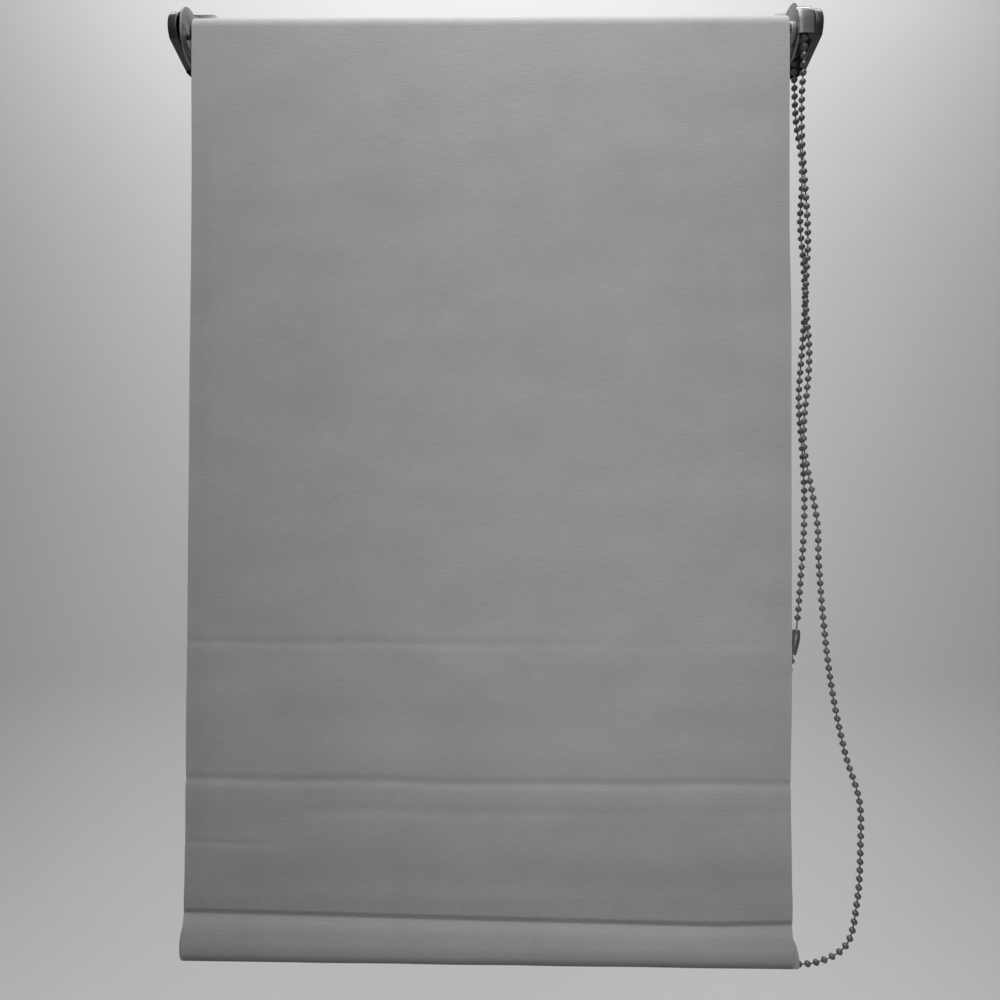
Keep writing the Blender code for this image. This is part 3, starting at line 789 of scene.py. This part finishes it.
def make_idle_end():
    plug = lathe("idle_end_plug", [
        (22.0, 0.0), (22.0, 6.2), (21.2, 6.6), (-1.7, 6.6), (-1.7, 7.5), (-3.5, 7.5),
        (-3.5, 2.4), (-1.6, 2.4), (-1.6, 3.6), (19.0, 3.6), (19.0, 0.0)], BLACK_PLASTIC)
    place(plug, "roller", "black_plastic", "idle_plug")
    pin = lathe("idle_end_pin", [
        (1.0, 0.0), (1.0, 3.3), (-1.0, 3.3), (-1.0, 2.0), (-10.0, 2.0), (-10.8, 1.2),
        (-10.8, 0.0)], WHEEL_PLASTIC, 48)
    place(pin, "idle_pin", "wheel_plastic", "idle_pin")
    spring = coil("idle_end_spring", 1.4, 18.4, 2.7, 0.25, 5)
    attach(spring, "roller")
    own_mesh(spring)
    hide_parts("idle_spring")


def wheel_points():
    """Chain wheel rim: a drum with ten round pockets for the beads."""
    low, high = WHEEL_X
    across = [low, low + 0.15] + list(np.linspace(low + 0.4, high - 0.4, 13)) + [high - 0.15,
                                                                                   high]
    steps = 200
    rings = []
    for x in across:
        ring = []
        for i in range(steps):
            angle = math.tau * i / steps
            radius = WHEEL_R - (0.15 if x in (low, high) else 0.0)
            nearest = (round((angle / math.tau * 10) - 0.5) + 0.5) * math.tau / 10
            off = CHAIN_PITCH_R * math.sin(angle - nearest)
            reach = (BEAD_R + 0.12) ** 2 - off ** 2 - (x - CHAIN_X) ** 2
            if reach > 0:
                pocket = CHAIN_PITCH_R * math.cos(angle - nearest) - math.sqrt(reach)
                radius = min(radius, pocket)
            ring.append((x, AXIS_Y + radius * math.cos(angle), radius * math.sin(angle)))
        rings.append(ring)
    turns = [math.tau * i / steps for i in range(steps)]
    for x, radius in ((high, 5.2), (high, HUB_R[0]), (398.4, HUB_R[0]), (398.4, HUB_R[1]),
                      (low - 0.3, HUB_R[1]), (low, 5.2)):
        rings.append([(x, AXIS_Y + radius * math.cos(t), radius * math.sin(t)) for t in turns])
    return rings


def make_drive_end():
    plug = lathe("drive_end_plug", [
        (418.5, 5.3), (418.5, 7.5), (415.1, 7.5), (415.1, 6.6), (396.0, 6.6), (396.0, 2.8),
        (398.0, 2.8), (398.0, 5.3)], PLUG_PLASTIC)
    place(plug, "roller", "plug_plastic", "drive_plug")
    wheel = loft("chain_drive_wheel", wheel_points(), WHEEL_PLASTIC, loop=True)
    place(wheel, "roller", "wheel_plastic", "chain_wheel")
    core = lathe("drive_end_core", [
        (425.8, 1.5), (425.8, 2.4), (391.0, 2.4), (391.0, 0.6), (391.4, 0.6), (391.4, 1.5)],
        BLACK_PLASTIC, 48, 0.12)
    place(core, "fixed", "black_plastic", "drive_core")
    ring = lathe("retaining_clip_ring", [
        (395.7, 2.7), (395.7, 3.9), (394.9, 3.9), (394.9, 2.7)], SPRING_STEEL, 48, 0.12)
    place(ring, "fixed", "spring_steel", "retaining_ring")
    for name, low, high in (("inner", 399.2, 410.0), ("outer", 410.6, 421.4)):
        spring = coil(f"clutch_spring_{name}", low, high, 3.15, 0.28, 9)
        place(spring, "fixed", "spring_steel", f"wrap_spring_{name}")
    screw = lathe("drive_core_screw", [
        (429.2, 0.0), (429.2, 1.7), (428.8, 2.6), (428.1, 2.8), (427.4, 2.8), (427.4, 1.1),
        (412.6, 1.1), (412.0, 0.4), (412.0, 0.0)], SCREW_STEEL, 48, 0.15)
    # cross recess: the same slot twice, a quarter turn apart
    bar = [(-1.5, -0.3), (1.5, -0.3), (1.5, 0.3), (-1.5, 0.3)]
    for slot in (bar, [(b, a) for a, b in reversed(bar)]):
        recess = plate("recess", [[(AXIS_Y + a, b) for a, b in slot]], "YZ", 428.3, 430.0,
                       SCREW_STEEL)
        screw = cut(screw, recess, "DIFFERENCE")
    place(screw, "fixed", "screw_steel", "core_screw")


def hood_side(radius):
    outline = arc((AXIS_Y, 0.0), radius, HOOD_REAR_ANGLE, 180, 60)
    outline.append((AXIS_Y - radius, HOOD_FRONT_Z))
    return outline


def hood_rings(first_angle, stations):
    """Rings across the hood's wall, one for each angle from first_angle to the front edge."""
    rings = []
    for y, z in arc((0.0, 0.0), 1.0, first_angle, 180, 48) + [(-1.0, None)]:
        ring = [(x, AXIS_Y + y * r, HOOD_FRONT_Z if z is None else z * r) for x, r in stations]
        rings.append(ring)
    return rings


def make_housing():
    """Hood over the chain wheel: slightly barrelled, with a lip over the cheek's edge."""
    low, high = HOUSING_X
    inner, outer = HOUSING_R
    rear = [(low, inner), (low, outer - 0.5), (low + 0.25, outer - 0.12), (low + 1.5, outer),
            (high - 1.2, outer), (high - 0.45, outer - 0.15), (high - 0.12, outer - 0.4),
            (high, outer - 0.8), (high, inner)]
    hood = loft("housing_hood", hood_rings(HOOD_REAR_ANGLE, rear), HOUSING_PLASTIC, sharp=50.0)
    lip_x = HOOD_LIP_X
    lip = [(lip_x, inner + 0.1), (lip_x, outer - 1.3), (lip_x + 0.3, outer - 0.85),
           (lip_x + 1.1, outer - 0.45), (lip_x + 2.2, outer - 0.2), (low + 0.3, outer - 0.03),
           (low + 1.8, outer - 0.02), (low + 1.8, inner + 0.05)]
    front = loft("housing_lip", hood_rings(HOOD_LIP_ANGLE, lip), HOUSING_PLASTIC, sharp=50.0)
    wall = plate("housing_wall", [hood_side(outer - 0.3), circle((AXIS_Y, 0), 1.5, 24)],
                 "YZ", HOUSING_PLATE_X, high - 0.03, HOUSING_PLASTIC, 0.12)
    housing = join("drive_housing_hood", [hood, front, wall])
    place(housing, "fixed", "grey_housing", "drive_housing")


make_idle_end()
make_drive_end()
make_housing()


# ---------------------------------------------------------------- cloth

def waves(x, z, seed, count, lengths, lean=0.12):
    """Smooth uneven horizontal bands: a seeded sum of long waves, about -1 to 1."""
    rng = np.random.RandomState(seed)
    total = 0.0
    for _ in range(count):
        length = rng.uniform(*lengths)
        across = rng.uniform(-lean, lean) * math.tau / length
        total = total + np.sin(math.tau * z / length + across * x + rng.uniform(0, math.tau)
                               + 0.8 * np.sin(x / rng.uniform(60, 140) + rng.uniform(0, 6)))
    return total / math.sqrt(count)


def ramp(value, start, end):
    t = np.clip((value - start) / (end - start), 0.0, 1.0)
    return t * t * (3 - 2 * t)


def dent(z, middle, width):
    return np.exp(-((z - middle) / width) ** 2 / 2)


def ripple(x, seed, lengths, count=5):
    rng = np.random.RandomState(seed)
    total = sum(np.sin(math.tau * x / rng.uniform(*lengths) + rng.uniform(0, math.tau))
                for _ in range(count))
    return total / math.sqrt(count)


def cloth_relief(x, z):
    """How far the hanging cloth stands in front of its plane, in millimetres."""
    fade = ramp(-z, 26.0, 60.0) * ramp(z, PANEL_BOTTOM, PANEL_BOTTOM + 26.0)
    low_part = ramp(-z, 380.0, 520.0)
    relief = 0.16 * waves(x, z, 3, 4, (34.0, 62.0)) * (0.3 + 0.9 * low_part)
    relief += 0.55 * waves(x, z, 8, 3, (110.0, 190.0), 0.3) * (0.25 + 0.8 * low_part)
    wander = 0.5 * np.sin(x / 47.0) + 0.4 * np.sin(x / 19.0 + 1.0)
    # three rolled-in creases and one short one, each a shallow groove
    upper, deep, shallow, short = CREASES_Z
    relief -= 0.42 * dent(z, upper + wander, 2.4) * (1 - ramp(x, 150.0, 300.0))
    relief -= 0.20 * dent(z, upper - 0.5 + wander, 3.2) * ramp(x, 150.0, 300.0)
    relief -= 0.80 * dent(z, deep + 1.2 * wander - 0.004 * (x - 200), 2.3)
    relief -= 0.45 * dent(z, shallow + wander, 3.2) * ramp(x, 60.0, 110.0) * (
        1 - 0.5 * ramp(x, 230.0, 330.0))
    relief -= 0.30 * dent(z, short - 0.02 * x, 1.6) * (1 - ramp(x, 40.0, 80.0))
    relief += 0.5 * dent(z, -575.0, 14.0) * (1 - 0.6 * ramp(x, 100.0, 330.0))
    corner = ramp(x, 330.0, 412.0) * dent(z, -600.0, 14.0)
    relief -= 1.1 * corner
    relief *= fade
    # the seam pulls the cloth in and gathers it slightly
    seam = ramp(-z, -PANEL_BOTTOM - 15.0, -PANEL_BOTTOM)
    relief += 0.16 * ripple(x, 21, (7.0, 15.0)) * seam * (1 - 0.7 * seam) * 2.0
    relief -= SEAM_DEPTH * seam
    # the long edges curl a little towards the sash
    nearer = np.minimum(x - CLOTH_X[0], CLOTH_X[1] - x)
    curl = 1.0 - ramp(nearer, 0.0, 16.0)
    relief -= 0.9 * curl * ramp(-z, 26.0, 120.0) * ramp(z, PANEL_BOTTOM, PANEL_BOTTOM + 50.0)
    return relief


def sheet_object(name, points, flat, thickness=CLOTH_T):
    """Cloth with two faces from a grid of points; its flat position is kept for the weave."""
    rows, columns = points.shape[:2]
    across, down = np.gradient(points, axis=1), np.gradient(points, axis=0)
    normal = np.cross(across, down)
    normal *= thickness / 2 / np.linalg.norm(normal, axis=2)[:, :, None]
    both = np.concatenate(((points + normal).reshape(-1, 3), (points - normal).reshape(-1, 3)))
    count = rows * columns
    front = ring_faces(rows, columns, False)
    back = [tuple(i + count for i in reversed(face)) for face in front]
    border = (list(range(columns)) + [i * columns + columns - 1 for i in range(1, rows)]
              + [count - 1 - i for i in range(1, columns)]
              + [(rows - 1 - i) * columns for i in range(1, rows - 1)])
    rim = [(b, a, a + count, b + count) for a, b in zip(border, border[1:] + border[:1])]
    item = make_object(name, both, front + back + rim, CLOTH, 55.0)
    layer = item.data.attributes.new("flat", "FLOAT_VECTOR", "POINT")
    places = np.zeros((2 * count, 3), np.float32)
    places[:, :2] = np.tile(flat.reshape(-1, 2), (2, 1)) * MM
    layer.data.foreach_set("vector", places.ravel())
    return item


def seam_lift(x):
    """Height of the stitching above its nominal line: high at the left, sagging right."""
    return np.interp(x, (0.0, 216.0, 362.0, 412.0), (2.2, -2.0, -4.4, -2.7))


def edge_shift(x, z):
    """How far the cloth's long edges have wandered sideways, fading towards the middle."""
    right = (1.1 * ramp(-z, 130.0, 205.0) - 0.9 * ramp(-z, 465.0, 540.0)
             + 1.1 * dent(z, -603.0, 14.0))
    left = (0.45 * dent(z, -130.0, 50.0) - 0.35 * ramp(-z, 330.0, 480.0)
            - 0.7 * dent(z, -608.0, 10.0))
    fade = ramp(-z, 26.0, 60.0)
    return (right * ramp(x, 300.0, CLOTH_X[1]) + left * (1 - ramp(x, CLOTH_X[0], 100.0))) * fade


def panel_grid(z_values, x_values):
    x, z = np.meshgrid(x_values, z_values)
    relief = cloth_relief(x, z)
    lifted = z + seam_lift(x) * ramp(-z, -STRIP_TOP, -PANEL_BOTTOM)
    points = np.stack((x + edge_shift(x, z), PANEL_Y - relief, lifted), axis=2)
    flat = np.stack((x - CLOTH_X[0], -z), axis=2)
    return points, flat


def panel_rows():
    """Heights of the hanging cloth's rows: close together at the creases."""
    rows = [STUB_BOTTOM]
    while rows[-1] > STRIP_TOP:
        z = rows[-1]
        close = any(abs(z - c) < 9.0 for c in CREASES_Z)
        step = 0.8 if close or z < PANEL_BOTTOM + 14.0 else 2.4
        rows.append(max(STRIP_TOP, z - step))
    return np.array(rows)


def make_panel():
    edge = [0.0, 1.0, 2.2, 3.6, 5.2, 7.0, 9.5, 12.5, 16.0]
    inner = list(np.linspace(CLOTH_X[0] + 19.0, CLOTH_X[1] - 19.0, 132))
    columns = np.array([CLOTH_X[0] + e for e in edge] + inner
                       + [CLOTH_X[1] - e for e in reversed(edge)])
    points, flat = panel_grid(panel_rows(), columns)
    panel = sheet_object("hanging_cloth", points, flat)
    place(panel, "fixed", "blind_cloth", "fabric_panel")
    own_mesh(panel)
    points, flat = panel_grid(np.linspace(0.0, STUB_BOTTOM, 12), columns)
    stub = sheet_object("hanging_cloth_top", points, flat)
    place(stub, "fixed", "blind_cloth", "fabric_panel")
    points, flat = panel_grid(np.linspace(STRIP_TOP, PANEL_BOTTOM, 13), columns)
    strip = sheet_object("hanging_cloth_foot", points, flat)
    place(strip, "hem", "blind_cloth", "fabric_panel")
    return panel, stub, strip


def make_roll():
    """Wound cloth: one long spiral whose outer end runs on into the hanging cloth."""
    per_turn, turns = 72, 9.2
    angles = np.linspace(0.0, math.tau * turns, int(per_turn * turns) + 1)
    radii = ROLL_R - (CLOTH_T + 0.01) * angles / math.tau
    lengths = running_lengths((radii[1:] + radii[:-1]) / 2 * np.diff(angles))
    columns = np.linspace(*CLOTH_X, 24)
    x, angle = np.meshgrid(columns, angles)
    radius, along = (np.meshgrid(columns, values)[1] for values in (radii, lengths))
    points = np.stack((x, AXIS_Y - radius * np.cos(angle), radius * np.sin(angle)), axis=2)
    flat = np.stack((x - CLOTH_X[0], -along), axis=2)
    roll = sheet_object("wound_cloth", points, flat, CLOTH_T - 0.02)
    place(roll, "roller", "blind_cloth", "fabric_roll")
    return roll, float(lengths[-1])


def hem_lift(x, z):
    """Lift of the hem at x: the seam wanders more than the straight bar below it."""
    seam, bar = seam_lift(x), 0.2 - 0.0035 * x
    return seam + (bar - seam) * np.clip((PANEL_BOTTOM - z) / (PANEL_BOTTOM - BAR_Z), 0.0, 1.0)


def tilt(item):
    """Move a finished piece of the hem by hem_lift."""
    places = np.zeros(len(item.data.vertices) * 3)
    item.data.vertices.foreach_get("co", places)
    places = places.reshape(-1, 3)
    places[:, 2] += hem_lift(places[:, 0] / MM, places[:, 2] / MM) * MM
    item.data.vertices.foreach_set("co", places.ravel())
    item.data.update()
    return item


def pocket_section():
    """Front seam, down round the bar, and up to the rear seam: (offset, z) pairs."""
    half, tall = POCKET_HALF
    front = [(0.42, PANEL_BOTTOM + 0.9), (0.48, PANEL_BOTTOM - 0.6), (0.62, PANEL_BOTTOM - 1.6),
             (1.15, PANEL_BOTTOM - 3.2), (2.1, PANEL_BOTTOM - 5.6), (3.25, PANEL_BOTTOM - 8.8),
             (4.2, PANEL_BOTTOM - 12.2)]
    round_part = [(half * math.cos(math.radians(a)), BAR_Z + tall * math.sin(math.radians(a)))
                  for a in range(24, -205, -6)]
    rear = [(-a, b) for a, b in reversed(front)]
    return np.array(front + round_part + rear)


def make_pocket():
    section = pocket_section()
    lengths = running_lengths(np.linalg.norm(np.diff(section, axis=0), axis=1))
    fine = np.linspace(0.0, lengths[-1], 84)
    columns = np.linspace(*CLOTH_X, 500)
    x, along = np.meshgrid(columns, fine)
    offset, height = (np.meshgrid(columns, np.interp(fine, lengths, section[:, k]))[1]
                      for k in (0, 1))
    side = np.sign(offset)
    neck = ramp(height, PANEL_BOTTOM - 9.0, PANEL_BOTTOM)
    pucker = 0.5 + 0.5 * np.cos(math.tau * (x - CLOTH_X[0]) / STITCH_PITCH)
    gather = ripple(x, 33, (8.0, 17.0))
    offset = offset - side * neck * (0.14 * pucker * neck + 0.10 * gather * (1 - neck))
    offset = offset + side * 0.10 * ripple(x, 5, (60.0, 150.0)) * (1 - neck)
    widened = x + 0.8 * neck * (ramp(x, 380.0, CLOTH_X[1]) - 1 + ramp(x, CLOTH_X[0], 30.0))
    points = np.stack((widened, PANEL_Y + SEAM_DEPTH * neck - offset, height), axis=2)
    flat = np.stack((x - CLOTH_X[0], along - PANEL_BOTTOM), axis=2)
    pocket = tilt(sheet_object("hem_sleeve", points, flat))
    place(pocket, "hem", "blind_cloth", "hem_pocket")
    return pocket, float(lengths[-1])


def make_stitches():
    """Sewing thread of the hem: a row of short stitches on the front and on the back."""
    rng = np.random.RandomState(12)
    template, faces = ball(8, 6)
    template = template * np.array((1.25, 0.19, 0.17))
    centres, frames = [], []
    for number in range(int((CLOTH_X[1] - CLOTH_X[0]) / STITCH_PITCH)):
        x = CLOTH_X[0] + STITCH_PITCH * (number + 0.5)
        for side in (1, -1):
            slant = rng.uniform(-0.07, 0.07)
            centres.append((x, PANEL_Y + SEAM_DEPTH - side * 0.62,
                            PANEL_BOTTOM - 0.35 + rng.uniform(-0.08, 0.08)))
            direction = np.array((math.cos(slant), 0.0, math.sin(slant)))
            frames.append(frame_along(direction))
    thread = scatter("hem_stitching", template, faces, np.array(centres), frames, THREAD)
    place(tilt(thread), "hem", "blind_cloth")
    return thread


def ellipse_ring(x, inset, half=POCKET_HALF, lowered=0.0, count=64):
    """Ring of the bar's section at x, drawn in by inset, its top lowered."""
    return [(x, PANEL_Y + (half[0] - inset) * math.cos(math.tau * i / count),
             BAR_Z - lowered / 2
             + (half[1] - inset - lowered / 2) * math.sin(math.tau * i / count))
            for i in range(count)]


def make_bar_and_caps():
    low, high = BAR_X
    stations = ((low, 0.5), (low, 0.15), (low + 0.2, 0.0), (high - 0.2, 0.0), (high, 0.15),
                (high, 0.5))
    bar = loft("bottom_bar_extrusion", [ellipse_ring(x, d, BAR_HALF) for x, d in stations],
               BAR_METAL)
    place(tilt(bar), "hem", "bar_metal", "bottom_bar")
    # stations of a cap: distance along it as a share, how far drawn in, how much lower its top
    flat_cap = ((0.0, 0.6, 0.0), (0.0, 0.2, 0.0), (0.15, 0.05, 0.0), (0.3, 0.0, 0.0),
                (0.7, 0.0, 0.0), (0.85, 0.08, 0.0), (0.97, 0.35, 0.0), (1.0, 0.8, 0.0),
                (1.0, 2.5, 0.0))
    wedge_cap = ((0.0, 0.6, 0.0), (0.0, 0.2, 0.0), (0.04, 0.05, 0.2), (0.1, 0.0, 0.5),
                 (0.25, 0.0, 1.2), (0.45, 0.0, 2.4), (0.65, 0.02, 4.2), (0.8, 0.08, 6.4),
                 (0.9, 0.22, 8.6), (0.96, 0.45, 10.4), (1.0, 1.0, 12.0), (1.0, 2.0, 13.0))
    for name, start, side, length, steps in (
            ("left", CLOTH_X[0] - PART_GAP, -1, CAP_LENGTHS[0], flat_cap),
            ("right", CLOTH_X[1] + PART_GAP, 1, CAP_LENGTHS[1], wedge_cap)):
        rings = [ellipse_ring(start + side * share * length, inset, lowered=lowered)
                 for share, inset, lowered in steps]
        cap = loft(f"bar_end_cap_{name}", rings, CAP_PLASTIC)
        place(tilt(cap), "hem", "cap_plastic", f"bar_cap_{name}")


def make_tube():
    inner = TUBE_R - TUBE_WALL
    low, high = TUBE_X
    item = lathe("roller_tube_shell", [(high, TUBE_R), (low, TUBE_R), (low, inner),
                                       (high, inner)], TUBE_METAL, 96, 0.12)
    place(item, "roller", "tube_metal", "roller_tube")
    outer_r, inner_r = TUBE_R + 0.22, TUBE_R + 0.06
    band = arc((AXIS_Y, 0.0), outer_r, 60, 110, 14) + arc((AXIS_Y, 0.0), inner_r, 110, 60, 14)
    tape = plate("cloth_holding_tape", [band], "YZ", CLOTH_X[0] + 1, CLOTH_X[1] - 1, TAPE)
    place(tape, "roller", "tape", "cloth_tape")


panel, stub, strip = make_panel()
roll, roll_length = make_roll()
pocket, pocket_length = make_pocket()
stitching = make_stitches()
make_bar_and_caps()
make_tube()


# ---------------------------------------------------------------- studio

def make_studio():
    """Pale floor that sweeps up into a wall, far enough back to walk round the blind."""
    made = Finish("backdrop", (0.80, 0.80, 0.79), 0.85)
    uneven = made.noise((1.5, 1.5, 1.5), 2.0)
    made.use("Base Color", made.colours(uneven, ((0.3, (0.79, 0.79, 0.78)),
                                                 (0.7, (0.81, 0.81, 0.80)))))
    wall_y, floor_z, bend = 1.3, -1.25, 0.5    # metres
    section = [(-2.6, floor_z)]
    section += [(wall_y - bend + bend * math.sin(math.radians(a)),
                 floor_z + bend - bend * math.cos(math.radians(a))) for a in range(0, 91, 6)]
    section.append((wall_y, 2.0))
    rings = [[(x * 1000, y * 1000, z * 1000) for y, z in section] for x in (-3.0, 3.5)]
    sweep = loft("backdrop", rings, made.material, wrap=False, caps=False, sharp=80.0)

    world = bpy.data.worlds.new("studio")
    world.use_nodes = True
    world.node_tree.nodes["Background"].inputs["Color"].default_value = (0.80, 0.82, 0.85, 1)
    world.node_tree.nodes["Background"].inputs["Strength"].default_value = 0.04
    bpy.context.scene.world = world

    # name, place and aim in metres, size in metres, power in watts, spread in degrees
    for name, at, aim, size, power, spread in (
            ("near_light", (0.25, -0.35, 0.5), (0.22, 0.0, -0.2), (0.5, 0.2), 3.0, 180),
            ("room_light", (0.25, -0.9, 0.6), (0.22, 0.0, -0.3), (0.6, 0.6), 4.5, 180),
            ("rim_light", (0.25, -0.15, 0.6), (0.22, -0.02, 0.0), (0.6, 0.2), 3.8, 180),
            ("low_light", (0.30, -0.9, -0.4), (0.30, 0.0, -0.40), (0.3, 0.3), 0.50, 70),
            ("wall_light", (0.2, 0.5, 1.6), (0.2, 1.2, -0.6), (2.5, 0.4), 27.0, 180),
    ):
        data = bpy.data.lights.new(name, "AREA")
        data.shape = "RECTANGLE"
        data.size, data.size_y = size
        data.energy = power
        data.spread = math.radians(spread)
        item = bpy.data.objects.new(name, data)
        item.location = at
        item.rotation_euler = (Vector(aim) - Vector(at)).to_track_quat("-Z", "Y").to_euler()
        bpy.context.scene.collection.objects.link(item)
    bpy.context.scene.view_settings.view_transform = "Standard"


make_studio()
